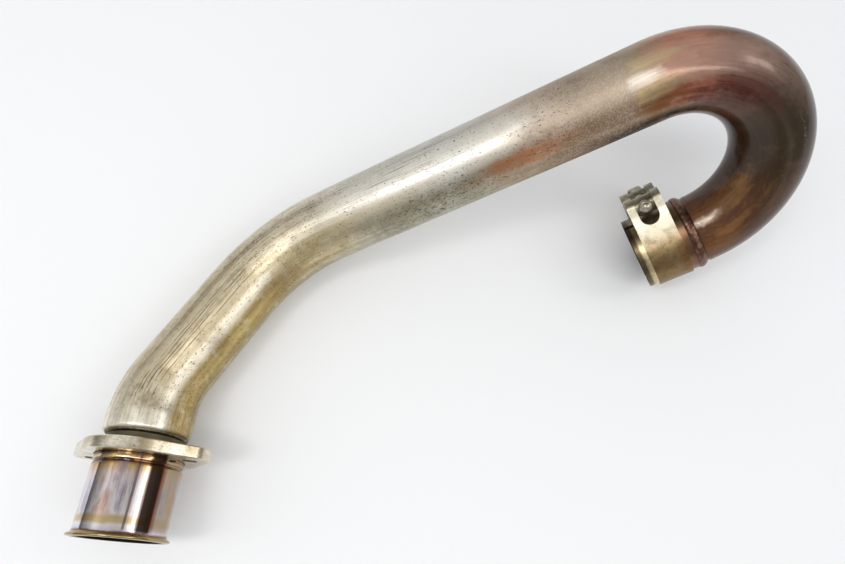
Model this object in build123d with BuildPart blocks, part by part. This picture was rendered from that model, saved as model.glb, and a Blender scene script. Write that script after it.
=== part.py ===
# Motorcycle exhaust header: bent tube, turned inlet spigot with a loose two stud flange,
# slotted outlet socket and a trunnion band clamp. Millimetres, Z up.
from build123d import *
import os
from math import acos, atan2, cos, degrees, radians, sin

os.makedirs("parts", exist_ok=True)

# Where the header lies: rim centre of the inlet and the turn of its axis
INLET_X = -161.68
INLET_Y = -146.8
INLET_Z = 39.69
TURN_X_DEG = -100.66
TURN_Y_DEG = -2.16
TURN_Z_DEG = -15.07

# Bent tube, as a bender reads it: straight, bend radius, bend angle, roll of the next bend
TUBE_OD = 45.0
TUBE_WALL = 1.5
INLET_RUN = 67.0
BEND1_R = 55.0
BEND1_DEG = 32.0
RUN1 = 60.0
ROLL2_DEG = -18.0
BEND2_R = 95.0
BEND2_DEG = 45.0
RUN2 = 205.0
ROLL3_DEG = 81.0
UBEND_R = 55.5
UBEND_DEG = 176.0
OUTLET_RUN = 6.0

# Bell of the tube at the inlet and its rolled in end
BELL_OD = 49.0
BELL_START = 55.5
LIP_THICK = 2.6
LIP_ROUND = 2.4

# Turned inlet spigot
SPIGOT_OD = 48.2
SPIGOT_BORE = 39.0
SPIGOT_SHOULDER = 48.5
SHOULDER_CHAMFER = 0.8
RIM_OD = 52.6
RIM_THICK = 1.6
RIM_FILLET = 1.7
GROOVE_AT = 37.5
GROOVE_WIDTH = 1.6
GROOVE_DEPTH = 0.7
NECK_OD = 42.6
NECK_IN_TUBE = 3.0

# Loose port flange
FLANGE_AT = 42.5
FLANGE_THICK = 6.8
FLANGE_TURN_DEG = 2.0
FLANGE_RING = 7.05
STUD_WEB = 2.3
STUD_HOLE_D = 8.5
EAR_R = 10.3
FLANGE_CLEARANCE = 0.35
FLANGE_SLIDE_GAP = 0.08
FLANGE_LIFT_DEG = -75.2
FLANGE_EDGE = 0.6

# Outlet end: swaged tube end inside a slotted socket
SWAGE_STEP = 1.1
SOCKET_WALL = 2.2
SOCKET_LENGTH = 34.5
SOCKET_MOUTH_STEP = 0.3
SWAGE_LENGTH = 2.8
SWAGE_IN_SOCKET = 8.0
SLIT_WIDTH = 2.6
SLIT_LENGTH = 20.0
SLIT_TURN_DEG = -26.0
WELD_PROUD = 0.9
WELD_LEG = 2.8
WELD_LAP_LENGTH = 1.6
BEAD_CREST_RATIO = 0.75
BEAD_BACK_RATIO = 0.3

# Band clamp
CLAMP_TURN_DEG = 26.0
BAND_WIDTH = 22.0
BAND_THICK = 1.2
BAND_FROM_WELD = 6.5
BARREL_D = 12.0
BARREL_LIFT = 2.4
BARREL_APART = 22.0
LOOP_WRAP_DEG = 205.0
STRAP_SLOT = 12.0
STRAP_SLOT_DROP = 11.8
BOLT_D = 8.0
BOLT_HOLE_CLEARANCE = 0.2
BOLT_TIP = 4.5
BOLT_POINT_D = 5.2
BOLT_POINT = 1.6
BOLT_COLLAR_D = 11.0
BOLT_COLLAR = 3.4
BOLT_HEAD_AF = 13.0
BOLT_HEAD = 5.3
BRIDGE_THICK = 0.8
BRIDGE_GAP = 0.1
BRIDGE_HALF_DEG = 52.0


def bent(frame, radius, angle):
    """Frame at the end of an arc that turns the heading (Z) towards X."""
    c = cos(radians(angle))
    s = sin(radians(angle))
    origin = frame.origin + frame.x_dir * (radius * (1 - c)) + frame.z_dir * (radius * s)
    return Plane(origin, x_dir=frame.x_dir * c - frame.z_dir * s, z_dir=frame.z_dir * c + frame.x_dir * s)


def rolled(frame, angle):
    """Frame turned about its own heading."""
    c = cos(radians(angle))
    s = sin(radians(angle))
    return Plane(frame.origin, x_dir=frame.x_dir * c + frame.y_dir * s, z_dir=frame.z_dir)


# Frames along the centre line; Z is the heading, X points to the centre of the next bend
inlet = Plane(origin=(INLET_X, INLET_Y, INLET_Z)).rotated((TURN_X_DEG, TURN_Y_DEG, TURN_Z_DEG))
bend1_in = inlet.offset(INLET_RUN)
bend1_out = bent(bend1_in, BEND1_R, BEND1_DEG)
bend2_in = rolled(bend1_out.offset(RUN1), ROLL2_DEG)
bend2_out = bent(bend2_in, BEND2_R, BEND2_DEG)
ubend_in = rolled(bend2_out.offset(RUN2), ROLL3_DEG)
ubend_out = bent(ubend_in, UBEND_R, UBEND_DEG)
outlet = ubend_out.offset(OUTLET_RUN)
clamp = rolled(outlet, CLAMP_TURN_DEG)

tube_r = TUBE_OD / 2
tube_bore_r = tube_r - TUBE_WALL
bell_r = BELL_OD / 2
neck_r = NECK_OD / 2
socket_bore_r = tube_r - SWAGE_STEP
socket_r = socket_bore_r + SOCKET_WALL
swage_bore_r = socket_bore_r - TUBE_WALL
side = Plane(inlet.origin, x_dir=inlet.x_dir, z_dir=inlet.y_dir * -1)
outlet_side = Plane(outlet.origin, x_dir=outlet.x_dir, z_dir=outlet.y_dir * -1)

# Centre lines of the tapered first bend and of the rest of the tube
with BuildLine() as first_arc:
    ThreePointArc(bend1_in.origin, bent(bend1_in, BEND1_R, BEND1_DEG / 2).origin, bend1_out.origin)
with BuildLine() as long_path:
    Line(bend1_out.origin, bend2_in.origin)
    ThreePointArc(bend2_in.origin, bent(bend2_in, BEND2_R, BEND2_DEG / 2).origin, bend2_out.origin)
    Line(bend2_out.origin, ubend_in.origin)
    ThreePointArc(ubend_in.origin, bent(ubend_in, UBEND_R, UBEND_DEG / 2).origin, ubend_out.origin)

# Gas passage inside the tube, taken out of the tube below
with BuildPart() as bore:
    with BuildSketch(side):
        with BuildLine():
            Polyline(
                (0, BELL_START),
                (neck_r, BELL_START),
                (neck_r, BELL_START + LIP_THICK),
                (bell_r - TUBE_WALL, BELL_START + LIP_THICK),
                (bell_r - TUBE_WALL, INLET_RUN),
                (0, INLET_RUN),
                close=True,
            )
        make_face()
    revolve(axis=Axis(inlet.origin, inlet.z_dir))
    with BuildSketch(bend1_in):
        Circle(bell_r - TUBE_WALL)
    with BuildSketch(bend1_out):
        Circle(tube_bore_r)
    sweep(path=first_arc.line, multisection=True)
    with BuildSketch(bend1_out):
        Circle(tube_bore_r)
    sweep(path=long_path.line)
    with BuildSketch(outlet_side):
        with BuildLine():
            Polyline(
                (0, -OUTLET_RUN),
                (tube_bore_r, -OUTLET_RUN),
                (swage_bore_r, -OUTLET_RUN + SWAGE_LENGTH),
                (swage_bore_r, SWAGE_IN_SOCKET),
                (0, SWAGE_IN_SOCKET),
                close=True,
            )
        make_face()
    revolve(axis=Axis(outlet.origin, outlet.z_dir))

# Header tube: rolled in bell, tapered first bend, constant tube, swaged end
with BuildPart() as tube:
    with BuildSketch(side) as bell_profile:
        with BuildLine():
            Polyline(
                (0, BELL_START),
                (bell_r, BELL_START),
                (bell_r, INLET_RUN),
                (0, INLET_RUN),
                close=True,
            )
        make_face()
        lip_corner = bell_profile.vertices().sort_by_distance((bell_r, BELL_START))[0]
        fillet(lip_corner, LIP_ROUND)
    revolve(axis=Axis(inlet.origin, inlet.z_dir))
    with BuildSketch(bend1_in):
        Circle(bell_r)
    with BuildSketch(bend1_out):
        Circle(tube_r)
    sweep(path=first_arc.line, multisection=True)
    with BuildSketch(bend1_out):
        Circle(tube_r)
    sweep(path=long_path.line)
    with BuildSketch(outlet_side):
        with BuildLine():
            Polyline(
                (0, -OUTLET_RUN),
                (tube_r, -OUTLET_RUN),
                (socket_bore_r, -OUTLET_RUN + SWAGE_LENGTH),
                (socket_bore_r, SWAGE_IN_SOCKET),
                (0, SWAGE_IN_SOCKET),
                close=True,
            )
        make_face()
    revolve(axis=Axis(outlet.origin, outlet.z_dir))
    add(bore.part, mode=Mode.SUBTRACT)

# Inlet spigot, turned from bar: flared rim, body with a ring groove, neck that enters the tube
spigot_r = SPIGOT_OD / 2
with BuildPart() as spigot:
    with BuildSketch(side) as spigot_profile:
        with BuildLine():
            Polyline(
                (SPIGOT_BORE / 2, 0),
                (RIM_OD / 2, 0),
                (RIM_OD / 2, RIM_THICK),
                (spigot_r, RIM_THICK),
                (spigot_r, GROOVE_AT),
                (spigot_r - GROOVE_DEPTH, GROOVE_AT),
                (spigot_r - GROOVE_DEPTH, GROOVE_AT + GROOVE_WIDTH),
                (spigot_r, GROOVE_AT + GROOVE_WIDTH),
                (spigot_r, SPIGOT_SHOULDER),
                (neck_r, SPIGOT_SHOULDER),
                (neck_r, BELL_START + NECK_IN_TUBE),
                (SPIGOT_BORE / 2, BELL_START + NECK_IN_TUBE),
                close=True,
            )
        make_face()
        rim_corner = spigot_profile.vertices().sort_by_distance((spigot_r, RIM_THICK))[0]
        fillet(rim_corner, RIM_FILLET)
        shoulder_corner = spigot_profile.vertices().sort_by_distance((spigot_r, SPIGOT_SHOULDER))[0]
        chamfer(shoulder_corner, SHOULDER_CHAMFER)
    revolve(axis=Axis(inlet.origin, inlet.z_dir))

# Weld that closes the corner between spigot neck and tube end
with BuildPart() as inlet_weld:
    with BuildSketch(side):
        with BuildLine():
            inner_leg = Line((neck_r, BELL_START - WELD_LAP_LENGTH), (neck_r, BELL_START))
            outer_leg = Line(inner_leg @ 1, (neck_r + WELD_LAP_LENGTH, BELL_START))
            crest = BEAD_CREST_RATIO * WELD_LAP_LENGTH
            ThreePointArc(outer_leg @ 1, (neck_r + crest, BELL_START - crest), inner_leg @ 0)
        make_face()
    revolve(axis=Axis(inlet.origin, inlet.z_dir))

stud_r = STUD_HOLE_D / 2
flange_hole_r = spigot_r + FLANGE_CLEARANCE
flange_body_r = flange_hole_r + FLANGE_RING
stud_at = flange_hole_r + STUD_WEB + stud_r

# Loose port flange, free to slide on the spigot. Its hole is wider than the spigot,
# so the header's weight rests on one side of the hole.
flange_lift = rolled(inlet, FLANGE_LIFT_DEG).x_dir * (FLANGE_CLEARANCE - FLANGE_SLIDE_GAP)
flange_frame = Plane(
    inlet.offset(FLANGE_AT).origin + flange_lift,
    x_dir=rolled(inlet, FLANGE_TURN_DEG).x_dir,
    z_dir=inlet.z_dir,
)
with BuildPart() as flange:
    with BuildSketch(flange_frame):
        Circle(flange_body_r)
        with Locations((-stud_at, 0), (stud_at, 0)):
            Circle(EAR_R)
        make_hull()
        Circle(flange_hole_r, mode=Mode.SUBTRACT)
        with PolarLocations(stud_at, 2):
            Circle(stud_r, mode=Mode.SUBTRACT)
    extrude(amount=FLANGE_THICK)
    rims = flange.faces().sort_by(Axis(inlet.origin, inlet.z_dir))
    chamfer([rims[0].outer_wire().edges(), rims[-1].outer_wire().edges()], FLANGE_EDGE)

# Outlet socket: a close bore over the tube end, a wider mouth for the next pipe,
# and two slits for the clamp to close
with BuildPart() as socket:
    with BuildSketch(outlet):
        Circle(socket_r)
        Circle(socket_bore_r, mode=Mode.SUBTRACT)
    extrude(amount=SOCKET_LENGTH)
    with BuildSketch(outlet.offset(SWAGE_IN_SOCKET)):
        Circle(socket_bore_r + SOCKET_MOUTH_STEP)
    extrude(amount=SOCKET_LENGTH - SWAGE_IN_SOCKET, mode=Mode.SUBTRACT)
    with BuildSketch(rolled(clamp, SLIT_TURN_DEG).offset(SOCKET_LENGTH - SLIT_LENGTH)):
        Rectangle(4 * socket_r, SLIT_WIDTH)
    extrude(amount=SLIT_LENGTH, mode=Mode.SUBTRACT)

# Weld bead round the outlet socket
with BuildPart() as outlet_weld:
    with BuildSketch(outlet_side):
        with BuildLine():
            tube_leg = Line((socket_bore_r, -WELD_LEG), (socket_bore_r, 0))
            face_leg = Line(tube_leg @ 1, (socket_r, 0))
            lap_leg = Line(face_leg @ 1, (socket_r, WELD_LAP_LENGTH))
            crest_back = BEAD_BACK_RATIO * WELD_LEG
            ThreePointArc(lap_leg @ 1, (socket_r + WELD_PROUD, -crest_back), tube_leg @ 0)
        make_face()
    revolve(axis=Axis(outlet.origin, outlet.z_dir))

# Band clamp: one strip round the socket whose ends rise and loop over two barrels.
# In the clamp frame X points to the gap and Y is the bolt line, with the bolt's tip at minus Y.
band_frame = clamp.offset(BAND_FROM_WELD)
band_r = socket_r + BAND_THICK / 2
loop_r = (BARREL_D + BAND_THICK) / 2
bridge_out_r = socket_r + BRIDGE_GAP + BRIDGE_THICK
barrel_far = bridge_out_r + BARREL_LIFT + BARREL_D / 2
barrel_height = (barrel_far**2 - (BARREL_APART / 2) ** 2) ** 0.5
lean = degrees(atan2(BARREL_APART / 2, barrel_height))
tangent_deg = lean + degrees(acos((band_r - loop_r) / barrel_far))
with BuildPart() as band:
    with BuildSketch(band_frame):
        with BuildLine() as strip:
            wrap = CenterArc((0, 0), band_r, tangent_deg, 360 - 2 * tangent_deg)
            head_loop = CenterArc((barrel_height, BARREL_APART / 2), loop_r, tangent_deg, -LOOP_WRAP_DEG)
            tip_loop = CenterArc((barrel_height, -BARREL_APART / 2), loop_r, -tangent_deg, LOOP_WRAP_DEG)
            Line(wrap @ 0, head_loop @ 0)
            Line(wrap @ 1, tip_loop @ 0)
        trace(line_width=BAND_THICK)
    extrude(amount=BAND_WIDTH)
    slot_mid = barrel_height - STRAP_SLOT_DROP + STRAP_SLOT / 2
    slot_plane = Plane(
        band_frame.offset(BAND_WIDTH / 2).origin, x_dir=band_frame.x_dir, z_dir=band_frame.y_dir * -1
    )
    with BuildSketch(slot_plane):
        with Locations((slot_mid, 0)):
            Circle(STRAP_SLOT / 2)
            Rectangle(2 * barrel_height, STRAP_SLOT, align=(Align.MIN, Align.CENTER))
    extrude(amount=2 * BARREL_APART, both=True, mode=Mode.SUBTRACT)

# Bridge strip that closes the gap between the two band ends
bridge_r = bridge_out_r - BRIDGE_THICK / 2
with BuildPart() as bridge:
    with BuildSketch(band_frame):
        with BuildLine():
            CenterArc((0, 0), bridge_r, -BRIDGE_HALF_DEG, 2 * BRIDGE_HALF_DEG)
        trace(line_width=BRIDGE_THICK)
    extrude(amount=BAND_WIDTH)

# Barrels in the loops: the one at the head is plain, the one at the tip is tapped
with BuildPart() as plain_barrel:
    with BuildSketch(band_frame):
        with Locations((barrel_height, BARREL_APART / 2)):
            Circle(BARREL_D / 2)
    extrude(amount=BAND_WIDTH)
    with BuildSketch(slot_plane):
        with Locations((barrel_height, 0)):
            Circle(BOLT_D / 2 + BOLT_HOLE_CLEARANCE)
    extrude(amount=2 * BARREL_APART, both=True, mode=Mode.SUBTRACT)

with BuildPart() as tapped_barrel:
    with BuildSketch(band_frame):
        with Locations((barrel_height, -BARREL_APART / 2)):
            Circle(BARREL_D / 2)
    extrude(amount=BAND_WIDTH)
    with BuildSketch(slot_plane):
        with Locations((barrel_height, 0)):
            Circle(BOLT_D / 2)
    extrude(amount=2 * BARREL_APART, both=True, mode=Mode.SUBTRACT)

# Clamp bolt: head and collar behind the plain barrel, stepped point out of the tapped one
bolt_seat = (BARREL_APART + BARREL_D) / 2
with BuildPart() as bolt:
    with BuildSketch(slot_plane.offset(-bolt_seat - BOLT_COLLAR - BOLT_HEAD)):
        with Locations((barrel_height, 0)):
            RegularPolygon(BOLT_HEAD_AF / 2, 6, major_radius=False)
    extrude(amount=BOLT_HEAD)
    with BuildSketch(slot_plane.offset(-bolt_seat - BOLT_COLLAR)):
        with Locations((barrel_height, 0)):
            Circle(BOLT_COLLAR_D / 2)
    extrude(amount=BOLT_COLLAR)
    with BuildSketch(slot_plane.offset(-bolt_seat)):
        with Locations((barrel_height, 0)):
            Circle(BOLT_D / 2)
    extrude(amount=2 * bolt_seat + BOLT_TIP - BOLT_POINT)
    with BuildSketch(slot_plane.offset(bolt_seat + BOLT_TIP - BOLT_POINT)):
        with Locations((barrel_height, 0)):
            Circle(BOLT_POINT_D / 2)
    extrude(amount=BOLT_POINT)

tube.part.label = "header_tube"
export_step(tube.part, "parts/header_tube.step")
spigot.part.label = "inlet_spigot"
export_step(spigot.part, "parts/inlet_spigot.step")
inlet_weld.part.label = "inlet_weld"
export_step(inlet_weld.part, "parts/inlet_weld.step")
flange.part.label = "port_flange"
export_step(flange.part, "parts/port_flange.step")
socket.part.label = "outlet_socket"
export_step(socket.part, "parts/outlet_socket.step")
outlet_weld.part.label = "outlet_weld"
export_step(outlet_weld.part, "parts/outlet_weld.step")
band.part.label = "clamp_band"
export_step(band.part, "parts/clamp_band.step")
bridge.part.label = "clamp_bridge"
export_step(bridge.part, "parts/clamp_bridge.step")
plain_barrel.part.label = "plain_barrel"
export_step(plain_barrel.part, "parts/plain_barrel.step")
tapped_barrel.part.label = "tapped_barrel"
export_step(tapped_barrel.part, "parts/tapped_barrel.step")
bolt.part.label = "clamp_bolt"
export_step(bolt.part, "parts/clamp_bolt.step")
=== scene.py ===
# %% [markdown]
# # A motorcycle exhaust header, lying on a pale floor
# The header is one bent stainless tube. A turned spigot with a loose two stud flange is welded
# to the end that meets the engine. A slotted socket with a band clamp is welded to the other end.
# This lesson loads the solids, gives the turned and bent pieces a finer skin worked out from the
# same bender's data, and colours every piece with the heat tints that hot gas leaves on steel.

# %% Load the solids and keep their box
from math import radians

import bmesh
import bpy
import numpy as np
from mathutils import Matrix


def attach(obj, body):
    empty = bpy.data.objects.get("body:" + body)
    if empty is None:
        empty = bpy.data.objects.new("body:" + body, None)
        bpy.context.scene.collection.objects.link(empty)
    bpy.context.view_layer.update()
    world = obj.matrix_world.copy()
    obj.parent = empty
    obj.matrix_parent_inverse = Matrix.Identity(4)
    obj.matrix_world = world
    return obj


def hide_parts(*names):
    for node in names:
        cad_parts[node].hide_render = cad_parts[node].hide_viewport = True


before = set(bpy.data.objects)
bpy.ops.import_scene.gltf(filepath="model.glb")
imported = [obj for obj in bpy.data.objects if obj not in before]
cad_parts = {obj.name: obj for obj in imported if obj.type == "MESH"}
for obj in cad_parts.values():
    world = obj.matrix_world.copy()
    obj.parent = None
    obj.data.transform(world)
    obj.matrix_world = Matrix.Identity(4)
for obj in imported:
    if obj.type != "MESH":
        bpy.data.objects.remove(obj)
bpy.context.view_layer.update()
MM = 0.001

# %% [markdown]
# ## The centre line, as a tube bender reads it
# A bender works from a short table: feed so many millimetres, turn the tube, bend so many degrees.
# The centre line could be drawn as a curve by hand, but then every bend would be a guess.
# Here it follows the same table. At every step it carries two side directions along with it,
# turned with each bend but never twisted, so that streaks drawn along the tube run true
# from one end to the other.

# %% Walk the bender's table
INLET_PLACE = np.array([-161.68, -146.80, 39.69])
INLET_TURN = (-100.66, -2.16, -15.07)
BENDS = [  # straight run before the bend, roll, bend radius, bend angle
    (67.0, 0.0, 55.0, 32.0),
    (60.0, -18.0, 95.0, 45.0),
    (205.0, 81.0, 55.5, 176.0)]
OUTLET_RUN = 6.0
PAST_WELD = 60.0


def turn(axis, degrees):
    """Matrix of a turn about one of the three axes."""
    c, s = np.cos(radians(degrees)), np.sin(radians(degrees))
    i, j = [(1, 2), (2, 0), (0, 1)][axis]
    m = np.eye(3)
    m[i, i], m[j, j], m[i, j], m[j, i] = c, c, -s, s
    return m


def spin(vector, axis, angle):
    """Turn a vector about a unit axis, for a whole array of angles (Rodrigues' formula)."""
    c, s = np.cos(angle)[:, None], np.sin(angle)[:, None]
    return vector * c + np.cross(axis, vector) * s + axis * np.dot(axis, vector) * (1 - c)


def walk(step=1.0):
    """Stations of the centre line, about a step apart.

    Gives the length s, place P, side vectors U and V and heading T of every station, then
    the length at the outlet weld and the inside direction of the last bend.
    """
    m = turn(0, INLET_TURN[0]) @ turn(1, INLET_TURN[1]) @ turn(2, INLET_TURN[2])
    place, u, v, heading, inside = INLET_PLACE, m[:, 0], m[:, 1], m[:, 2], m[:, 0]
    rows, s0 = [], 0.0

    def straight(length, place, s0):
        """Stations of a straight run, and the place and length at its end."""
        run = np.linspace(0, length, max(2, int(length / step)), endpoint=False)[:, None]
        hold = np.ones_like(run)
        rows.append(np.hstack([s0 + run, place + run * heading, hold * u, hold * v, hold * heading]))
        return place + length * heading, s0 + length

    for length, roll, radius, angle in BENDS:
        place, s0 = straight(length, place, s0)
        inside = spin(inside, heading, np.array([radians(roll)]))[0]
        hinge = np.cross(heading, inside)
        a = np.linspace(0, radians(angle), int(radius * radians(angle) / step), endpoint=False)
        centre = place + radius * inside
        ring = centre - radius * spin(inside, hinge, a)
        rows.append(np.hstack([s0 + radius * a[:, None], ring, spin(u, hinge, a),
                               spin(v, hinge, a), spin(heading, hinge, a)]))
        last = np.array([radians(angle)])
        place, s0 = centre - radius * spin(inside, hinge, last)[0], s0 + radius * radians(angle)
        u, v, inside, heading = (spin(w, hinge, last)[0] for w in (u, v, inside, heading))
    place, s0 = straight(OUTLET_RUN + PAST_WELD, place, s0)
    s, p, u, v, t = np.split(np.vstack(rows), [1, 4, 7, 10], axis=1)
    return s[:, 0], p, u, v, t, s0 - PAST_WELD, inside


S, P, U, V, T, S_WELD, OUTLET_INSIDE = walk()
print(f"centre line: {S_WELD:.1f} mm from rim to outlet weld, {len(S)} stations")

# %% [markdown]
# ## A profile carried along the centre line
# Most pieces of a header are round about the centre line, so one helper serves for all of them.
# It takes a closed outline of radius against length and carries it round the path. Each point
# also remembers its straightened place, as if the tube were pulled out to a straight bar.
# The finishes are drawn on that bar, so a streak stays a streak through every bend.

# %% Grid to mesh
def mesh_piece(name, points, across, around, closed_across=True, marks=None):
    """Piece from a grid of points, closed around and, if asked, closed across as well.

    The enclosed volume is the sum of p0 . (p1 x p2) / 6 over the triangles. Where it comes out
    negative the faces look inwards, so their corners are taken the other way round.
    """
    i = np.arange(across if closed_across else across - 1)[:, None]
    j = np.arange(around)[None, :]
    i2, j2 = (i + 1) % across, (j + 1) % around
    square = (i * around + j, i * around + j2, i2 * around + j2, i2 * around + j)
    quads = np.stack(np.broadcast_arrays(*square), -1).reshape(-1, 4)
    corner = points.reshape(-1, 3)[quads]

    def under(a, b, c):
        """Signed volume under one triangle of every square."""
        return np.einsum("ij,ij->", corner[:, a], np.cross(corner[:, b], corner[:, c])) / 6

    volume = under(0, 1, 2) + under(0, 2, 3)
    quads = quads if volume > 0 else quads[:, ::-1]
    print(f"{name}: {len(quads)} faces round {abs(volume):.0f} cubic mm")
    mesh = bpy.data.meshes.new(name)
    mesh.from_pydata((points.reshape(-1, 3) * MM).tolist(), [], quads.tolist())
    for mark, values in (marks or {}).items():
        values = np.ascontiguousarray(values, dtype=np.float32)
        kind = "FLOAT_VECTOR" if values.ndim == 2 else "FLOAT"
        layer = mesh.attributes.new(mark, kind, "POINT")
        layer.data.foreach_set("vector" if values.ndim == 2 else "value", values.ravel())
    mesh.polygons.foreach_set("use_smooth", np.ones(len(mesh.polygons), dtype=bool))
    mesh.update()
    piece = bpy.data.objects.new(name, mesh)
    bpy.context.scene.collection.objects.link(piece)
    return piece


print("grid helper ready")

# %% [markdown]
# An outline is a short list of corners, each with a radius, a length and a soot mark. The mark is 1 on
# the walls that hot gas runs along. The corners are cut into short steps before they are carried,
# so that the skin can follow the bends and take a change of radius anywhere.

# %% Outline helpers
def stations(rows, length):
    """Rows of the centre line, read off at any lengths."""
    return np.stack([np.interp(length, S, rows[:, c]) for c in range(3)], -1)


def carried(name, radius, length, soot, around=128, shape=None):
    """X(k, t) = P(s_k) + r(k, t) (U cos t + V sin t): a closed outline (r, s) carried round the path."""
    t = np.linspace(0, 2 * np.pi, around, endpoint=False)
    r = radius[:, None] * np.ones(around)
    if shape is not None:
        r = r + shape(length[:, None], t[None, :], soot[:, None])
    p, u, v = (stations(rows, length)[:, None, :] for rows in (P, U, V))
    c, s = np.cos(t)[None, :, None], np.sin(t)[None, :, None]
    points = p + r[..., None] * (u * c + v * s)
    bar = np.stack([r * np.cos(t), r * np.sin(t), length[:, None] * np.ones(around)], -1) * MM
    marks = {"bar": bar.reshape(-1, 3), "soot": (soot[:, None] * np.ones(around)).ravel()}
    return mesh_piece(name, points, len(radius), around, True, marks)


def outline(corners, step=1.0):
    """Closed outline of (radius, length, soot) corners, cut into short steps."""
    rows = []
    for a, b in zip(corners, corners[1:] + corners[:1]):
        n = max(1, int(np.hypot(b[0] - a[0], b[1] - a[1]) / step))
        k = np.linspace(0, 1, n, endpoint=False)[:, None]
        rows.append(np.array(a) + k * (np.array(b) - np.array(a)))
    return np.vstack(rows).T


def arc(r0, s0, radius, start, end, soot=0.0, steps=6):
    """Corners of a rounded edge about (r0, s0), angles from the radius direction to the length."""
    a = np.radians(np.linspace(start, end, steps))
    return [(r0 + radius * np.cos(x), s0 + radius * np.sin(x), soot) for x in a]


print("outline helpers ready")

# %% [markdown]
# ## The bent tube
# The bell at the inlet end is rolled inwards to a rounded lip, and the tube draws down to its final
# diameter over the first bend. The end in the socket is swaged smaller.
# A mandrel bender leaves the tube a little flat on the inside of a bend, with a faint wrinkle.
# The skin carries a shallow crease there, as a change of radius, because a real dent catches the
# light from every side and a painted one does not.

# %% Tube skin
TUBE_R = 22.5
WALL = 1.5
BELL_R = 24.5
BELL_AT = 55.5
LIP_ROUND = 2.4
LIP_THICK = 2.6
NECK_R = 21.3
SOCKET_BORE_R = 21.4
SWAGE_AT = S_WELD - 6.0
SWAGE_RUN = 2.8
TUBE_END = S_WELD + 8.0
TAPER_FROM = BENDS[0][0]
TAPER_TO = TAPER_FROM + BENDS[0][2] * radians(BENDS[0][3])
CREASE_AT = 207.0
CREASE_TURN = -0.80
CREASE_DEPTH = 0.35
CREASE_ROUND = 0.5
CREASE_LONG = 5.0

tube_corners = arc(BELL_R - LIP_ROUND, BELL_AT + LIP_ROUND, LIP_ROUND, -90, 0) + [
    (BELL_R, TAPER_FROM, 0), (TUBE_R, TAPER_TO, 0), (TUBE_R, SWAGE_AT, 0),
    (SOCKET_BORE_R, SWAGE_AT + SWAGE_RUN, 0), (SOCKET_BORE_R, TUBE_END, 0),
    (SOCKET_BORE_R - WALL, TUBE_END, 1), (SOCKET_BORE_R - WALL, SWAGE_AT + SWAGE_RUN, 1),
    (TUBE_R - WALL, SWAGE_AT, 1), (TUBE_R - WALL, TAPER_TO, 1),
    (BELL_R - WALL, TAPER_FROM, 1), (BELL_R - WALL, BELL_AT + LIP_THICK, 1),
    (NECK_R, BELL_AT + LIP_THICK, 1), (NECK_R, BELL_AT, 0)]


def bent_wall(s, t, soot):
    """Change of radius: a wrinkle -d exp(-(turn / a)^2 - (s / l)^2) and an uneven wall, all inwards.

    Every change of radius is called with the soot mark. This one is the same on both walls.
    """
    turned = np.angle(np.exp(1j * (t - CREASE_TURN)))
    side = np.exp(-(turned / CREASE_ROUND) ** 2)
    wrinkle = -CREASE_DEPTH * side * np.exp(-((s - CREASE_AT) / CREASE_LONG) ** 2)
    uneven = -0.07 - 0.06 * (1 + np.sin(s / 23.0 + 2 * t) * np.sin(s / 57.0))
    bent = (s > TAPER_FROM) & (s < SWAGE_AT)
    return (wrinkle + uneven) * bent


r, s, soot = outline(tube_corners, 1.6)
tube = carried("header_tube_skin", r, s, soot, 120, bent_wall)
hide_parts("header_tube")
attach(tube, "header")
print("tube skin:", len(tube.data.polygons), "faces")

# %% [markdown]
# ## The turned spigot
# The spigot is turned from bar and polished. It has a thin flared rim that pinches the port gasket,
# a ring groove near the flange, a chamfered shoulder, and a neck that enters the tube.
# A lathe cuts one outline, so one outline carried round is the natural way to make it.

# %% Spigot skin
SPIGOT_R = 24.1
SPIGOT_BORE_R = 19.5
BORE_EDGE = 0.5
RIM_R = 26.3
RIM_EDGE = 0.8
RIM_THICK = 1.6
RIM_FILLET = 1.7
GROOVE_AT = 37.5
GROOVE_END = GROOVE_AT + 1.6
GROOVE_R = SPIGOT_R - 0.7
GROOVE_EDGE = 0.2
GROOVE_SLOPE = 0.1
SHOULDER = 48.5
CHAMFER = 0.8
NECK_END = BELL_AT + 3.0

rim = [(SPIGOT_BORE_R + BORE_EDGE, 0.0, 1)] + arc(RIM_R - RIM_EDGE, RIM_EDGE, RIM_EDGE, -90, 0)
rim += arc(RIM_R - RIM_EDGE, RIM_EDGE, RIM_EDGE, 10, 90)
fillet = [(SPIGOT_R + RIM_FILLET * (1 - np.cos(a)), RIM_THICK + RIM_FILLET * (1 - np.sin(a)), 0)
          for a in np.radians(np.linspace(80, 0, 6))]
groove = [
    (SPIGOT_R, GROOVE_AT - GROOVE_EDGE, 0), (SPIGOT_R - GROOVE_EDGE, GROOVE_AT, 0),
    (GROOVE_R, GROOVE_AT + GROOVE_SLOPE, 0), (GROOVE_R, GROOVE_END - GROOVE_SLOPE, 0),
    (SPIGOT_R - GROOVE_EDGE, GROOVE_END, 0), (SPIGOT_R, GROOVE_END + GROOVE_EDGE, 0)]
neck = [
    (SPIGOT_R, SHOULDER - CHAMFER, 0), (SPIGOT_R - CHAMFER, SHOULDER, 0), (NECK_R, SHOULDER, 0),
    (NECK_R, NECK_END, 0), (SPIGOT_BORE_R, NECK_END, 1), (SPIGOT_BORE_R, BORE_EDGE, 1)]
r, s, soot = outline(rim + fillet + groove + neck, 1.0)
spigot = carried("inlet_spigot_skin", r, s, soot, 160)
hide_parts("inlet_spigot")
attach(spigot, "header")
print("spigot skin:", len(spigot.data.polygons), "faces")

# %% [markdown]
# ## The weld beads
# A hand laid bead is a row of overlapping drops. Its crest rises and falls with every drop and the
# drops are never quite even. Bump in the material could fake that, but the edge of the bead would
# stay smooth, so the bead's height is a sharpened wave round the joint.

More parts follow.
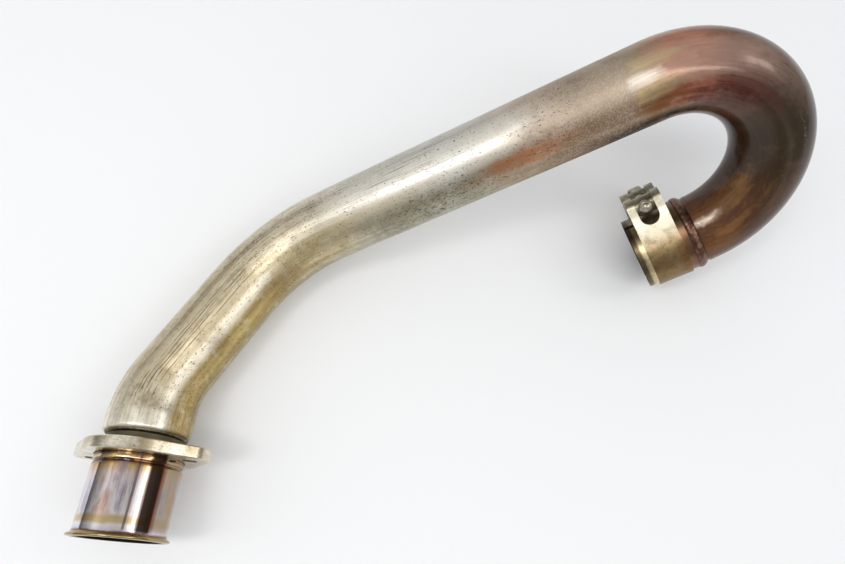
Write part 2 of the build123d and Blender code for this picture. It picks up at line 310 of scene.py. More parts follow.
# %% Weld skins
SOCKET_R = 23.6
BEAD_BEFORE = 3.6
BEAD_AFTER = 2.2
LIP_BEAD = 1.7


def drops(count, height, seed):
    """Height change of a bead: -h (1 - |cos(count t / 2 + wobble)|), lower between the drops."""
    rng = np.random.default_rng(seed)
    a, b = rng.uniform(0, 6.28, 2)

    def shape(s, t, soot):
        """The change at a length and an angle, nothing on the hidden faces."""
        wobble = 0.9 * np.sin(3 * t + a) + 0.6 * np.sin(7 * t + b) + 0.5 * s
        valley = 1 - np.abs(np.cos(count * t / 2 + wobble))
        return -height * (valley ** 1.5 + 0.25 * (1 + np.sin(5 * t + b))) * (1 - soot)
    return shape


def bead_top(r0, s0, r1, s1, proud, steps=14):
    """Rounded crest from (r0, s0) to (r1, s1), proud of the straight line between them."""
    k = np.linspace(0, 1, steps)
    lift = proud * np.sin(np.pi * k) ** 0.8
    return [(r0 + (r1 - r0) * x + h, s0 + (s1 - s0) * x, 0.0) for x, h in zip(k, lift)]


crest = bead_top(SOCKET_BORE_R + 0.9, S_WELD - BEAD_BEFORE, SOCKET_R + 0.1, S_WELD + BEAD_AFTER, 1.35)
hidden = [(SOCKET_R - 0.2, S_WELD + 1.6, 1), (SOCKET_R - 0.2, S_WELD, 1), (SOCKET_BORE_R, S_WELD, 1),
          (SOCKET_BORE_R, S_WELD - 2.8, 1)]
r, s, soot = outline(crest + hidden, 0.6)
outlet_weld = carried("outlet_weld_skin", r, s, soot, 360, drops(52, 0.13, 4))
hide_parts("outlet_weld")
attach(outlet_weld, "header")

crest = bead_top(NECK_R, BELL_AT - LIP_BEAD, NECK_R + LIP_BEAD, BELL_AT, 0.5)
r, s, soot = outline(crest + [(NECK_R, BELL_AT, 1)], 0.5)
inlet_weld = carried("inlet_weld_skin", r, s, soot, 280, drops(54, 0.3, 9))
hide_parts("inlet_weld")
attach(inlet_weld, "header")
print("beads:", len(outlet_weld.data.polygons), "and", len(inlet_weld.data.polygons), "faces")

# %% [markdown]
# ## The clamp bolt
# The bolt has a hexagon head on a collar, a rolled thread and a stepped point. A screw thread is
# a radius that depends on the angle and on the length together, so one surface makes it all.
# It stands across the outlet, in directions that follow from the last bend.

# %% Bolt directions and sizes
CLAMP_TURN = 26.0
BAND_AT = 6.5
BAND_WIDTH = 22.0
BARREL_HEIGHT = 31.0
SEAT = 17.0
BOLT_R = 4.0
PITCH = 1.25
THREAD_DEPTH = 0.58
HEAD = 5.3
HEAD_FLAT = 6.5
HEAD_EDGE = 0.7
COLLAR = 3.4
COLLAR_R = 5.5
TIP = 4.5
POINT = 1.6
POINT_R = 2.6
HAIR = 0.01

outlet_place = stations(P, S_WELD)
outlet_heading = T[-1]
clamp_out = spin(OUTLET_INSIDE, outlet_heading, np.array([radians(CLAMP_TURN)]))[0]
bolt_line = np.cross(outlet_heading, clamp_out)
bolt_mid = outlet_place + outlet_heading * (BAND_AT + BAND_WIDTH / 2) + clamp_out * BARREL_HEIGHT
print("bolt middle in mm:", bolt_mid.round(1))

# %% [markdown]
# The surface has a ring of points at every length y along the bolt. Two rings a hair apart make a
# sharp step, and the first and last ring shrink to a point, where the doubled points are merged.

# %% Bolt skin
def bolt_surface(around=72):
    """X(y, t) = M - y B + r(y, t) (A cos t - H sin t), with a hexagon, a helix and plain steps."""
    head_end = -SEAT - COLLAR
    head_top = head_end - HEAD
    collar_end = -SEAT
    tip = SEAT + TIP
    y = np.concatenate([
        [head_top], np.linspace(head_top, head_top + HEAD_EDGE, 4), [head_end, head_end + HAIR],
        [collar_end - 0.4, collar_end, collar_end + HAIR],
        np.linspace(collar_end + 2 * HAIR, tip - POINT, 360),
        [tip - POINT + HAIR, tip - 0.3, tip, tip]])[:, None]
    t = np.linspace(0, 2 * np.pi, around, endpoint=False)[None, :]
    hexagon = HEAD_FLAT / np.cos((t + np.pi / 6) % (np.pi / 3) - np.pi / 6)
    dish = HEAD_FLAT - 0.05 + 0.8 * (y - head_top) / HEAD_EDGE
    zigzag = np.abs(2 * ((y / PITCH - t / (2 * np.pi)) % 1) - 1)
    thread = np.maximum(BOLT_R - 0.02 - 0.62 * zigzag, BOLT_R - THREAD_DEPTH)
    run_out = POINT_R + 1.2 * (tip - 1.3 - y) / 0.9
    thread = np.where(y > tip - 2.2, np.minimum(thread, run_out), thread)
    r = np.where(y <= head_end, np.minimum(hexagon, dish), np.where(y <= collar_end, COLLAR_R, thread))
    r = np.where(y > tip - POINT, POINT_R, r) * np.ones_like(t)
    r[0], r[-1] = 0.0, 0.0
    c, s = np.cos(t)[..., None], np.sin(t)[..., None]
    points = bolt_mid - y[..., None] * bolt_line + r[..., None] * (clamp_out * c - outlet_heading * s)
    bar = np.stack([r * np.cos(t), r * np.sin(t), y * np.ones_like(t)], -1) * MM
    return points, bar.reshape(-1, 3), len(y), around


points, bar, across, around = bolt_surface()
bolt_marks = {"bar": bar, "soot": np.zeros(len(bar))}
bolt = mesh_piece("clamp_bolt_skin", points, across, around, False, bolt_marks)
closing = bmesh.new()
closing.from_mesh(bolt.data)
bmesh.ops.remove_doubles(closing, verts=closing.verts, dist=1e-7)
closing.to_mesh(bolt.data)
closing.free()
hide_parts("clamp_bolt")
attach(bolt, "header")
print("bolt skin:", len(bolt.data.polygons), "faces")

# %% [markdown]
# ## Finishes: small helpers
# Every finish is a recipe of noise, stripes and colour ramps. The nodes could be placed by hand in the
# shader editor, but a class with one method for each kind of node keeps a recipe down to a few lines.
# A recipe reads either the straightened bar mark or the piece's own coordinates.

# %% Finish helpers
class Recipe:
    """A metal finish under construction, with its nodes and links."""

    def __init__(self, name, mark="bar"):
        """New metal, drawn on a mark of the piece or, with no mark, on its own coordinates."""
        self.material = bpy.data.materials.new(name)
        self.material.use_nodes = True
        self.tree = self.material.node_tree
        self.skin = self.tree.nodes["Principled BSDF"]
        self.skin.inputs["Metallic"].default_value = 1.0
        if mark:
            self.at = self.mark(mark).outputs["Vector"]
        else:
            self.at = self.node("ShaderNodeTexCoord").outputs["Object"]

    def node(self, kind, **settings):
        """New node with its settings."""
        node = self.tree.nodes.new(kind)
        for key, value in settings.items():
            setattr(node, key, value)
        return node

    def mark(self, name):
        """Node that reads a mark of the piece's points."""
        return self.node("ShaderNodeAttribute", attribute_name=name)

    def put(self, socket, value):
        """Link a node's output to a socket, or set a plain value on it."""
        if isinstance(value, bpy.types.NodeSocket):
            self.tree.links.new(value, socket)
        else:
            socket.default_value = value

    def vector(self, operation, a, b=None):
        """Vector sum of one kind. The second vector is a constant."""
        node = self.node("ShaderNodeVectorMath", operation=operation)
        self.put(node.inputs[0], a)
        if b is not None:
            node.inputs[1].default_value = tuple(b)
        return node

    def scaled(self, x, y, z):
        """The recipe's coordinates stretched along each axis."""
        return self.vector("MULTIPLY", self.at, (x, y, z)).outputs[0]

    def along(self, direction, origin=(0, 0, 0), vector=None):
        """Distance along a direction from an origin."""
        shift = self.vector("SUBTRACT", vector or self.at, origin).outputs[0]
        return self.vector("DOT_PRODUCT", shift, direction).outputs["Value"]

    def off_axis(self, place, heading):
        """Distance from an axis through a place, in metres."""
        shift = self.vector("SUBTRACT", self.at, place).outputs[0]
        cross = self.vector("CROSS_PRODUCT", shift, heading).outputs[0]
        return self.vector("LENGTH", cross).outputs["Value"]

    def maths(self, operation, a, b=0.0, c=0.0):
        """Sum of one kind on up to three values."""
        node = self.node("ShaderNodeMath", operation=operation)
        for socket, value in zip(node.inputs, (a, b, c)):
            self.put(socket, value)
        return node.outputs[0]

    def times(self, a, b):
        """Product of two values."""
        return self.maths("MULTIPLY", a, b)

    def line(self, value, slope, start):
        """Straight line: value times slope plus start."""
        return self.maths("MULTIPLY_ADD", value, slope, start)

    def shaken(self, value, noise, width):
        """Value moved to and fro by a noise, over a width in metres."""
        return self.line(noise, width, self.maths("ADD", value, -width / 2))

    def noise(self, scale, detail=4.0, rough=0.55, vector=None):
        """Cloudy noise, about 0.3 to 0.7."""
        node = self.node("ShaderNodeTexNoise")
        self.put(node.inputs["Vector"], vector or self.at)
        for key, value in (("Scale", scale), ("Detail", detail), ("Roughness", rough)):
            node.inputs[key].default_value = value
        return node.outputs["Fac"]

    def spread(self, value, low, high, start=0.0, end=1.0):
        """Value stretched from low..high to start..end with soft ends."""
        node = self.node("ShaderNodeMapRange", interpolation_type="SMOOTHSTEP")
        names = ("Value", "From Min", "From Max", "To Min", "To Max")
        for key, v in zip(names, (value, low, high, start, end)):
            self.put(node.inputs[key], v)
        return node.outputs["Result"]

    def ramp(self, value, stops):
        """Colour ramp of (place, screen colour) stops."""
        node = self.node("ShaderNodeValToRGB")
        self.put(node.inputs["Fac"], value)
        points = node.color_ramp.elements
        while len(points) < len(stops):
            points.new(0.5)
        for point, (place, colour) in zip(points, stops):
            point.position = place
            point.color = (*shade(*colour), 1.0)
        return node.outputs["Color"]

    def mix(self, share, under, over, how="MIX"):
        """A share of one colour laid over another. A colour is a node's output or a screen colour."""
        node = self.node("ShaderNodeMix", data_type="RGBA", blend_type=how)
        self.put(node.inputs["Factor"], share)
        for socket, value in ((node.inputs[6], under), (node.inputs[7], over)):
            self.put(socket, (*shade(*value), 1.0) if isinstance(value, tuple) else value)
        return node.outputs[2]

    def bump(self, height, strength, distance):
        """Bump laid over the bumps that are there already."""
        node = self.node("ShaderNodeBump")
        node.inputs["Strength"].default_value = strength
        node.inputs["Distance"].default_value = distance
        self.put(node.inputs["Height"], height)
        if self.skin.inputs["Normal"].is_linked:
            self.put(node.inputs["Normal"], self.skin.inputs["Normal"].links[0].from_socket)
        self.put(self.skin.inputs["Normal"], node.outputs["Normal"])

    def toward(self, degrees):
        """Cosine of the turn between the bar's side and a facing angle."""
        side = (np.cos(radians(degrees)), np.sin(radians(degrees)), 0.0)
        flat = self.vector("NORMALIZE", self.scaled(1, 1, 0)).outputs[0]
        return self.along(side, (0, 0, 0), flat)

    def facing(self, degrees, wide, soft):
        """1 where the bar faces an angle, to a half width, fading over a soft margin (degrees)."""
        none, full = np.cos(radians(wide + soft)), np.cos(radians(max(wide - soft, 0.0)))
        return self.spread(self.toward(degrees), none, full)

    def between(self, value, start, end, soft):
        """1 between two lengths in millimetres, fading over a soft margin."""
        rise = self.spread(value, (start - soft) * MM, (start + soft) * MM)
        fall = self.spread(value, (end - soft) * MM, (end + soft) * MM, 1.0, 0.0)
        return self.times(rise, fall)

    def spot(self, middle, reach, degrees, wide, ragged):
        """1 in a soft oval on the bar: ((s - middle) / reach)^2 + (angle / wide)^2 below about 1."""
        turned = self.maths("ARCCOSINE", self.maths("MINIMUM", self.toward(degrees), 1.0))
        round_part = self.maths("POWER", self.maths("DIVIDE", turned, radians(wide)), 2.0)
        away = self.maths("SUBTRACT", self.along((0, 0, 1)), middle * MM)
        shift = self.maths("DIVIDE", away, reach * MM)
        oval = self.line(shift, shift, round_part)
        return self.spread(self.maths("ADD", oval, ragged), 1.9, -0.1)

    def soot(self):
        """The soot mark of the piece."""
        return self.mark("soot").outputs["Fac"]

    def done(self, colour, roughness, *objects):
        """Link colour and roughness, and give the finish to its objects."""
        self.put(self.skin.inputs["Base Color"], colour)
        self.put(self.skin.inputs["Roughness"], roughness)
        for thing in objects:
            thing.data.materials.clear()
            thing.data.materials.append(self.material)
        print(self.material.name, "on", [thing.name for thing in objects])


def shade(red, green, blue):
    """Screen colour, 0 to 255, as light values."""
    c = np.array([red, green, blue]) / 255.0
    return tuple(float(x) for x in np.where(c <= 0.04045, c / 12.92, ((c + 0.055) / 1.055) ** 2.4))


print("finish helpers ready")

# %% [markdown]
# ## Heat tints on the tube
# Stainless steel takes straw, brown, purple and then grey oxide as it gets hotter, so a header
# is a record of its own temperature. This one is straw on the lower leg, pale on the long run, grained
# grey where the metal was hottest before the return bend, and red brown to olive through the bend.
# A ramp along the bar gives the tints, and a slow noise makes their borders wander.

# %% Tube tints
RAMP_LENGTH = 650.0
TINTS = [  # length along the bar, colour
    (58, (250, 246, 232)), (70, (238, 230, 206)), (86, (218, 206, 176)), (110, (218, 205, 174)),
    (170, (218, 206, 175)), (215, (224, 216, 194)), (270, (218, 213, 201)), (320, (212, 208, 199)),
    (350, (204, 196, 184)), (372, (188, 171, 152)), (392, (174, 158, 140)), (425, (174, 157, 138)),
    (440, (170, 140, 116)), (455, (132, 98, 82)), (475, (88, 60, 46)), (492, (58, 42, 28)),
    (515, (44, 33, 18)), (540, (50, 34, 20)), (570, (74, 46, 29)), (608, (84, 51, 31))]
steel = Recipe("tube_steel")
length = steel.along((0, 0, 1))
wander = steel.shaken(length, steel.noise(30.0, 5.0, 0.6), 0.030)
stops = [(s / RAMP_LENGTH, tint) for s, tint in TINTS]
colour = steel.ramp(steel.maths("DIVIDE", wander, RAMP_LENGTH * MM), stops)
print("tube finish: heat ramp of", len(TINTS), "tints")

# %% [markdown]
# The tints are not even round the tube. One side of the lower leg is pale and streaked, the other is
# gold. Long stripes, each with a place along the bar, an angle and a colour, are laid over the ramp.
# Streaky noise frays their ends, and a blotchy one breaks them up, so that none looks like a sticker.
# Four stripes are painted light: a painted shade and a painted highlight that set where the lower leg's
# highlight lies, a painted highlight that widens the one on the long run, and painted shade inside the
# return bend.

# %% Tube stripes
STRIPES = [  # from, to, soft end, facing angle, half width, soft side, colour, strength
    (60, 235, 14, 262, 18, 14, (192, 180, 158), 0.45),
    (40, 192, 20, 353, 25, 6, (184, 158, 94), 0.95),
    (60, 250, 14, 19, 14, 8, (140, 134, 106), 0.60),
    # Painted shade, then a painted highlight, that move the lower leg's highlight.
    (64, 176, 12, 298, 11, 8, (190, 176, 146), 0.55),
    (62, 182, 12, 322, 7, 6, (242, 238, 226), 0.65),
    (188, 250, 16, 335, 27, 9, (182, 163, 112), 0.85),
    (232, 300, 18, 322, 16, 10, (194, 178, 142), 0.55),
    (245, 350, 20, 232, 14, 10, (172, 170, 160), 0.70),
    # Painted highlight that widens the highlight of the long run.
    (245, 372, 20, 275, 17, 10, (240, 238, 231), 0.65),
    (250, 345, 22, 353, 31, 11, (136, 131, 106), 0.85),
    (338, 396, 16, 352, 34, 14, (148, 127, 98), 0.80),
    (384, 445, 14, 354, 36, 14, (130, 102, 76), 0.85),
    # Painted shade on the inside of the return bend.
    (400, 472, 18, 17, 18, 10, (44, 34, 22), 0.90),
    (470, 575, 14, 48, 28, 14, (46, 29, 18), 0.75)]
streaks = steel.noise(1.0, 6.0, 0.62, steel.scaled(380, 380, 9))
frayed = steel.line(streaks, 0.5, steel.times(steel.noise(90.0, 6.0, 0.7), 0.5))
ragged = steel.shaken(length, frayed, 0.040)
blotch = steel.noise(120.0, 8.0, 0.70)
torn = steel.line(blotch, 0.6, steel.times(streaks, 0.4))
broken = steel.spread(torn, 0.34, 0.56, 0.45, 1.0)
for start, end, soft, angle, wide, side, tint, strength in STRIPES:
    place = steel.times(steel.between(ragged, start, end, soft), steel.facing(angle, wide, side))
    colour = steel.mix(steel.times(steel.times(place, strength), broken), colour, tint)
print("tube stripes:", len(STRIPES))

# %% [markdown]
# Shorter marks are soft ovals: rust on the long run, red and dark scale in the return bend, gold on
# the outlet leg, and a pale place there that is partly wear and partly a painted highlight. Where scale
# has flaked its edge is clean, so the last few start at a sharp, slightly shaky line. The near white
# one of these is partly a pale flaked patch and partly a painted highlight.

# %% Tube spots and patches
RETURN_BEND = 440
EDGE_SOFT = 1.2
SPOTS = [  # middle, half length, facing angle, half width, colour, strength
    (180, 20, 345, 18, (112, 86, 48), 0.70),
    (150, 30, 342, 9, (206, 184, 122), 0.50),
    (340, 18, 333, 13, (150, 120, 84), 0.50),
    (363, 22, 330, 14, (182, 108, 58), 0.75),
    (449, 16, 266, 32, (188, 120, 98), 0.60),
    (464, 28, 292, 26, (176, 140, 126), 0.65),
    (452, 22, 336, 18, (122, 46, 28), 0.85),
    (470, 20, 348, 17, (58, 26, 17), 0.80),
    (486, 26, 284, 32, (124, 100, 88), 0.75),
    (530, 42, 320, 38, (46, 36, 22), 0.50),
    (575, 40, 60, 22, (44, 28, 18), 0.60),
    (588, 34, 28, 16, (118, 78, 40), 0.50),
    (602, 15, 335, 19, (122, 80, 44), 0.45),
    (568, 26, 22, 11, (140, 104, 64), 0.30),
    (590, 17, 350, 7, (150, 106, 60), 0.42),
    (572, 26, 328, 15, (60, 47, 37), 0.50),
    # Partly wear, partly a painted highlight on the outlet leg.
    (600, 14, 20, 7, (196, 178, 160), 0.75)]
PATCHES = [  # sharp edge at, then as a spot
    (426, 432, 13, 277, 14, (204, 186, 146), 0.65),
    # Partly a pale flaked patch, partly a painted highlight.
    (422, 429, 9, 298, 11, (240, 236, 226), 0.60),
    (424, 431, 13, 318, 12, (194, 168, 118), 0.70),
    (421, 433, 13, 338, 10, (118, 74, 36), 0.80),
    (462, 478, 20, 328, 21, (62, 10, 5), 0.95)]
uneven = steel.line(frayed, 7.0, -3.5)
mottled = steel.line(steel.noise(90.0, 7.0, 0.7), 5.0, -2.5)
streaked = steel.spread(steel.noise(1.0, 5.0, 0.65, steel.scaled(620, 620, 40)), 0.36, 0.60, 0.60, 1.0)
for middle, reach, angle, wide, tint, strength in SPOTS:
    rough_edge = uneven if middle < RETURN_BEND else mottled
    place = steel.times(steel.spot(middle, reach, angle, wide, rough_edge), streaked)
    colour = steel.mix(steel.times(place, strength), colour, tint)
shaky = steel.shaken(length, frayed, 0.030)
for edge, middle, reach, angle, wide, tint, strength in PATCHES:
    place = steel.times(steel.spot(middle, reach, angle, wide, uneven), streaked)
    started = steel.spread(shaky, (edge - EDGE_SOFT) * MM, (edge + EDGE_SOFT) * MM)
    colour = steel.mix(steel.times(steel.times(place, started), strength), colour, tint)
print("tube spots and patches:", len(SPOTS), len(PATCHES))

# %% [markdown]
# Handling leaves marks along the tube: fine streaks, rows of small pits and a bundle of scratches on the
# lower leg. Where the metal was hottest the surface is grained like orange peel. These marks are worked
# out first, because colour, roughness and bump all need them.

# %% Tube pits, grain and scratches
fine = steel.noise(1.0, 4.0, 0.6, steel.scaled(1700, 1700, 60))
pitted = steel.noise(1.0, 2.0, 0.5, steel.scaled(1500, 1500, 620))
crowd = steel.line(streaks, 0.6, steel.times(steel.noise(28.0, 3.0, 0.5), 0.6))
pits = steel.spread(steel.line(crowd, 0.36, pitted), 0.83, 0.90)
pits = steel.times(pits, steel.between(length, 60, 400, 20))
spotted = steel.spread(steel.noise(1.0, 3.0, 0.6, steel.scaled(560, 560, 400)), 0.57, 0.64)
spotted = steel.times(spotted, steel.spot(306, 46, 343, 26, uneven))
pits = steel.maths("MAXIMUM", pits, spotted)
grain = steel.times(steel.noise(1100.0, 3.0, 0.6), steel.between(ragged, 360, 434, 14))
lines = steel.facing(287, 0.9, 0.8)
for angle in (299, 277, 281, 292):
    lines = steel.maths("MAXIMUM", lines, steel.facing(angle, 0.5, 0.5))
scratched = steel.times(steel.between(length, 74, 172, 6), steel.spread(fine, 0.40, 0.56))
scratch = steel.times(scratched, lines)
oxide = steel.between(ragged, 446, 640, 14)
print("tube pits, grain and scratches ready")

# %% [markdown]
# Then come the stains, from broad to small: dark streaks and short dashes, the patina of the lower leg,
# licks of gold near the outlet, and the pits and scratches themselves, which hold dirt. The inner
# wall is black with soot.

# %% Tube stains
lower_leg = steel.between(length, 50, 235, 25)
quiet = steel.line(steel.between(length, 240, 700, 30), -0.88, 1.0)
dark_streaks = steel.times(steel.spread(streaks, 0.42, 0.74, 0.0, 0.40), quiet)
colour = steel.mix(dark_streaks, colour, (124, 100, 72))
dashes = steel.spread(steel.noise(1.0, 5.0, 0.7, steel.scaled(1300, 1300, 30)), 0.50, 0.64, 0.0, 0.50)
dashed = steel.times(steel.facing(270, 26, 12), steel.between(length, 60, 330, 20))
colour = steel.mix(steel.times(dashes, dashed), colour, (112, 98, 80))
patina = steel.times(lower_leg, steel.spread(blotch, 0.48, 0.66, 0.0, 0.40))
colour = steel.mix(patina, colour, (168, 146, 108))
bloom = steel.times(lower_leg, steel.spread(blotch, 0.32, 0.46, 0.22, 0.0))
colour = steel.mix(bloom, colour, (238, 234, 218))
colour = steel.mix(steel.spread(fine, 0.50, 0.75, 0.0, 0.30), colour, (222, 212, 196), "SOFT_LIGHT")
licks = steel.spread(steel.noise(1.0, 8.0, 0.78, steel.scaled(230, 230, 60)), 0.44, 0.70)
licked = steel.times(steel.between(ragged, 552, 612, 14), steel.facing(8, 40, 24))
colour = steel.mix(steel.times(steel.times(licks, licked), 0.36), colour, (146, 104, 58))
colour = steel.mix(steel.spread(grain, 0.46, 0.66, 0.0, 0.30), colour, (226, 214, 204))
clean = steel.line(steel.between(length, 250, 350, 20), -0.6, 1.0)
stained = steel.times(steel.spread(steel.noise(46.0, 7.0, 0.7), 0.50, 0.70, 0.0, 0.35), clean)
colour = steel.mix(stained, colour, (96, 74, 56))
colour = steel.mix(steel.times(pits, 0.70), colour, (62, 54, 46))
colour = steel.mix(steel.times(scratch, 0.70), colour, (72, 66, 62))
crease = steel.times(steel.between(ragged, 206.4, 207.2, 0.5), steel.facing(312, 9, 3))
colour = steel.mix(steel.times(crease, 0.6), colour, (92, 78, 60))
nicks = steel.times(steel.spread(steel.noise(3200.0, 1.0, 0.5), 0.62, 0.70), steel.facing(309, 2, 2))
nicks = steel.times(nicks, steel.between(length, 512, 538, 6))
colour = steel.mix(steel.times(nicks, 0.6), colour, (204, 194, 176))
colour = steel.mix(steel.soot(), colour, (44, 38, 33))
print("tube stains laid over the tints")

# %% [markdown]
# Bare steel is a mirror that has been rubbed dull, and oxide is closer to a glaze: less metallic, but
# smoother. So the oxide mark lowers both values, and pits, grain and soot raise the roughness.

# %% Tube gloss and bump
rough = steel.line(streaks, 0.16, 0.20)
rough = steel.line(steel.between(length, 40, 240, 30), 0.09, rough)
rough = steel.line(steel.between(length, 245, 420, 20), 0.07, rough)
rough = steel.line(oxide, -0.12, rough)
rough = steel.line(grain, 0.40, steel.line(pits, 0.25, rough))
rough = steel.maths("MAXIMUM", rough, steel.times(steel.soot(), 0.75))
steel.put(steel.skin.inputs["Metallic"], steel.line(oxide, -0.62, 0.74))
steel.skin.inputs["IOR"].default_value = 1.38
steel.bump(fine, 0.06, 0.0002)
steel.bump(grain, 0.22, 0.0003)
steel.bump(steel.times(steel.maths("MAXIMUM", pits, scratch), -1.0), 0.30, 0.0003)
steel.done(colour, rough, tube)

# %% [markdown]
# ## Polish on the spigot
# The spigot is polished bright. Heat from the port has tinted it gold, then purple and blue towards
# the rim, where the thin edge ran hottest. The tints follow the length in rings. The dark rings next to
# the flange are painted shadow under it, and the neck beyond is partly dull and partly painted shade.
# A blush and a haze of noise cloud the tints, and along one side run a stain and painted reflections.

# %% Spigot tints
RINGS_LENGTH = 60.0
RINGS = [  # length from the rim, colour
    (0.0, (150, 140, 112)), (1.6, (178, 150, 96)), (2.8, (128, 88, 60)), (3.8, (214, 208, 220)),
    (6.0, (230, 228, 234)), (7.5, (206, 186, 150)), (9.5, (204, 182, 142)), (11.5, (228, 226, 228)),
    (16, (222, 220, 226)), (26, (220, 214, 220)), (32, (222, 206, 200)), (35.5, (214, 180, 120)),
    (37.2, (150, 110, 62)), (37.8, (70, 52, 38)), (39.1, (70, 52, 38)), (39.4, (228, 200, 136)),
    # From 41.2 to 48.2 mm the stops are painted shadow under the flange; the neck stop at 49 mm is
    # partly dull metal and partly painted shade.
    (40.4, (214, 190, 142)), (41.2, (124, 98, 62)), (42.2, (62, 50, 38)), (48.2, (92, 85, 74)),
    (49, (102, 96, 78))]
chrome = Recipe("spigot_chrome")
length = chrome.along((0, 0, 1))
wander = chrome.shaken(length, chrome.noise(120.0, 4.0, 0.6), 0.003)
stops = [(s / RINGS_LENGTH, tint) for s, tint in RINGS]
colour = chrome.ramp(chrome.maths("DIVIDE", wander, RINGS_LENGTH * MM), stops)
haze = chrome.noise(1.0, 5.0, 0.65, chrome.scaled(330, 330, 36))
blush = chrome.noise(1.0, 3.0, 0.5, chrome.scaled(150, 150, 60))
body = chrome.between(length, 10, 41, 3)
for cloud, tint in (
        (chrome.spread(blush, 0.50, 0.66, 0.0, 0.60), (206, 146, 116)),
        (chrome.spread(blush, 0.30, 0.46, 0.60, 0.0), (160, 146, 180)),
        (chrome.spread(haze, 0.46, 0.66, 0.0, 0.60), (132, 116, 122))):
    colour = chrome.mix(chrome.times(cloud, body), colour, tint)
print("spigot tints:", len(RINGS))

# %% [markdown]
# Along one side runs a brown grey strip, partly a real stain and partly a painted reflection of the
# shadowed floor. Beside it lie painted reflections of the dark surroundings: a dark band with a red
# edge, and a thin dark line. All are drawn by angle, as the stripes of the tube are.

# %% Spigot stain, painted reflections and gloss
# Partly a real stain, partly a painted reflection of the shadowed floor.
stain = chrome.times(chrome.facing(357, 20, 9), chrome.between(length, 4, 47, 2))
stain_and_reflection_tint = chrome.ramp(blush, [(0.36, (140, 134, 126)), (0.62, (160, 136, 104))])
colour = chrome.mix(chrome.times(stain, 0.85), colour, stain_and_reflection_tint)
# Painted reflection of dark surroundings: a dark band.
dark_reflection = chrome.times(chrome.facing(331, 10, 2.2), chrome.between(length, 3.5, 47, 0.8))
dark_reflection_tint = chrome.ramp(haze, [(0.35, (56, 44, 38)), (0.65, (78, 52, 35))])
colour = chrome.mix(chrome.times(dark_reflection, 0.95), colour, dark_reflection_tint)
# Painted reflection: the red edge of the dark band.
edge = chrome.times(chrome.facing(341.5, 3.0, 2.6), chrome.between(length, 4, 40, 3))
colour = chrome.mix(chrome.times(edge, 0.60), colour, (112, 50, 38))
# Painted reflection: a thin dark line.
thin = chrome.times(chrome.facing(308.5, 1.3, 0.9), chrome.between(length, 4, 47, 1))
colour = chrome.mix(chrome.times(thin, 0.75), colour, (96, 78, 84))
colour = chrome.mix(chrome.soot(), colour, (40, 35, 31))
dull_neck = chrome.times(chrome.between(length, 48.8, 70, 0.3), 0.5)
dull = chrome.maths("MAXIMUM", chrome.times(chrome.soot(), 0.8), dull_neck)
rough = chrome.maths("MAXIMUM", chrome.line(haze, 0.10, 0.03), dull)
chrome.bump(chrome.noise(1.0, 2.0, 0.5, chrome.scaled(90, 90, 2600)), 0.02, 0.0001)
chrome.done(colour, rough, spigot)

# %% [markdown]
# ## Weld beads
# The beads are dark with oxide and never shiny all over. One mottle of three colours serves for both,
# brown at the outlet, grey at the inlet, and the drops themselves are in the skin.

# %% Weld finish
def bead_finish(name, dark, middle, light, bead):
    """Mottled oxide from dark to light, with a fine rough grain."""
    weld = Recipe(name)
    mottle = weld.noise(300.0, 5.0, 0.6)
    colour = weld.ramp(mottle, [(0.3, dark), (0.5, middle), (0.68, light)])
    weld.bump(weld.noise(900.0, 4.0, 0.6), 0.12, 0.0003)
    weld.done(colour, weld.line(mottle, 0.25, 0.22), bead)


bead_finish("outlet_bead_steel", (78, 56, 46), (108, 80, 66), (142, 112, 94), outlet_weld)
bead_finish("inlet_bead_steel", (86, 82, 66), (118, 111, 90), (150, 142, 116), inlet_weld)

# %% [markdown]
# ## Flange, bridge strip and barrels
# The flange is sawn and ground plate, so its brushing runs one way. The bridge strip and the barrels are
# small plain pieces gone grey, with dirt in them. All have a broad stain, finer marks and specks, so one
# recipe takes their colours, and the solids keep their own shapes.

# %% Plain metal finish for the pressed and sawn pieces
solids = {o.name: o for o in bpy.data.objects if o.type == "MESH"}


def plain_metal(name, light, dark, stain, base_rough, brush, *nodes):
    """Metal with broad stain, fine brushing along one direction, and small dark specks."""
    metal = Recipe(name, None)
    broad = metal.noise(70.0, 5.0, 0.6)
    lines = metal.noise(1.0, 5.0, 0.65, metal.scaled(*brush))
    specks = metal.spread(metal.noise(900.0, 2.0, 0.5), 0.66, 0.76)
    tone = metal.mix(metal.spread(broad, 0.35, 0.65), light, dark)
    tone = metal.mix(metal.spread(lines, 0.45, 0.75, 0.0, 0.5), tone, stain)
    tone = metal.mix(metal.times(specks, 0.5), tone, (66, 58, 48))
    metal.bump(lines, 0.10, 0.0002)
    metal.bump(broad, 0.10, 0.0015)
    metal.done(tone, metal.line(lines, 0.22, base_rough), *[solids[n] for n in nodes])


plain_metal("flange_steel", (244, 240, 226), (196, 182, 154), (146, 124, 90),
            0.12, (160, 900, 900), "port_flange")
plain_metal("bridge_steel", (170, 156, 134), (136, 120, 98), (96, 80, 62),
            0.30, (300, 300, 300), "clamp_bridge")
plain_metal("barrel_steel", (158, 154, 134), (104, 99, 80), (54, 48, 36),
            0.22, (1100, 1100, 1100), "plain_barrel", "tapped_barrel")

# %% [markdown]
# ## Socket
# The socket is brown by the weld and straw coloured further out. Soot darkens its open edge and its
# inside, and a painted shadow of the clamp's barrels darkens the side under the bolt. The colours are
# drawn in the clamp's own directions, along the outlet and outwards to the bolt.

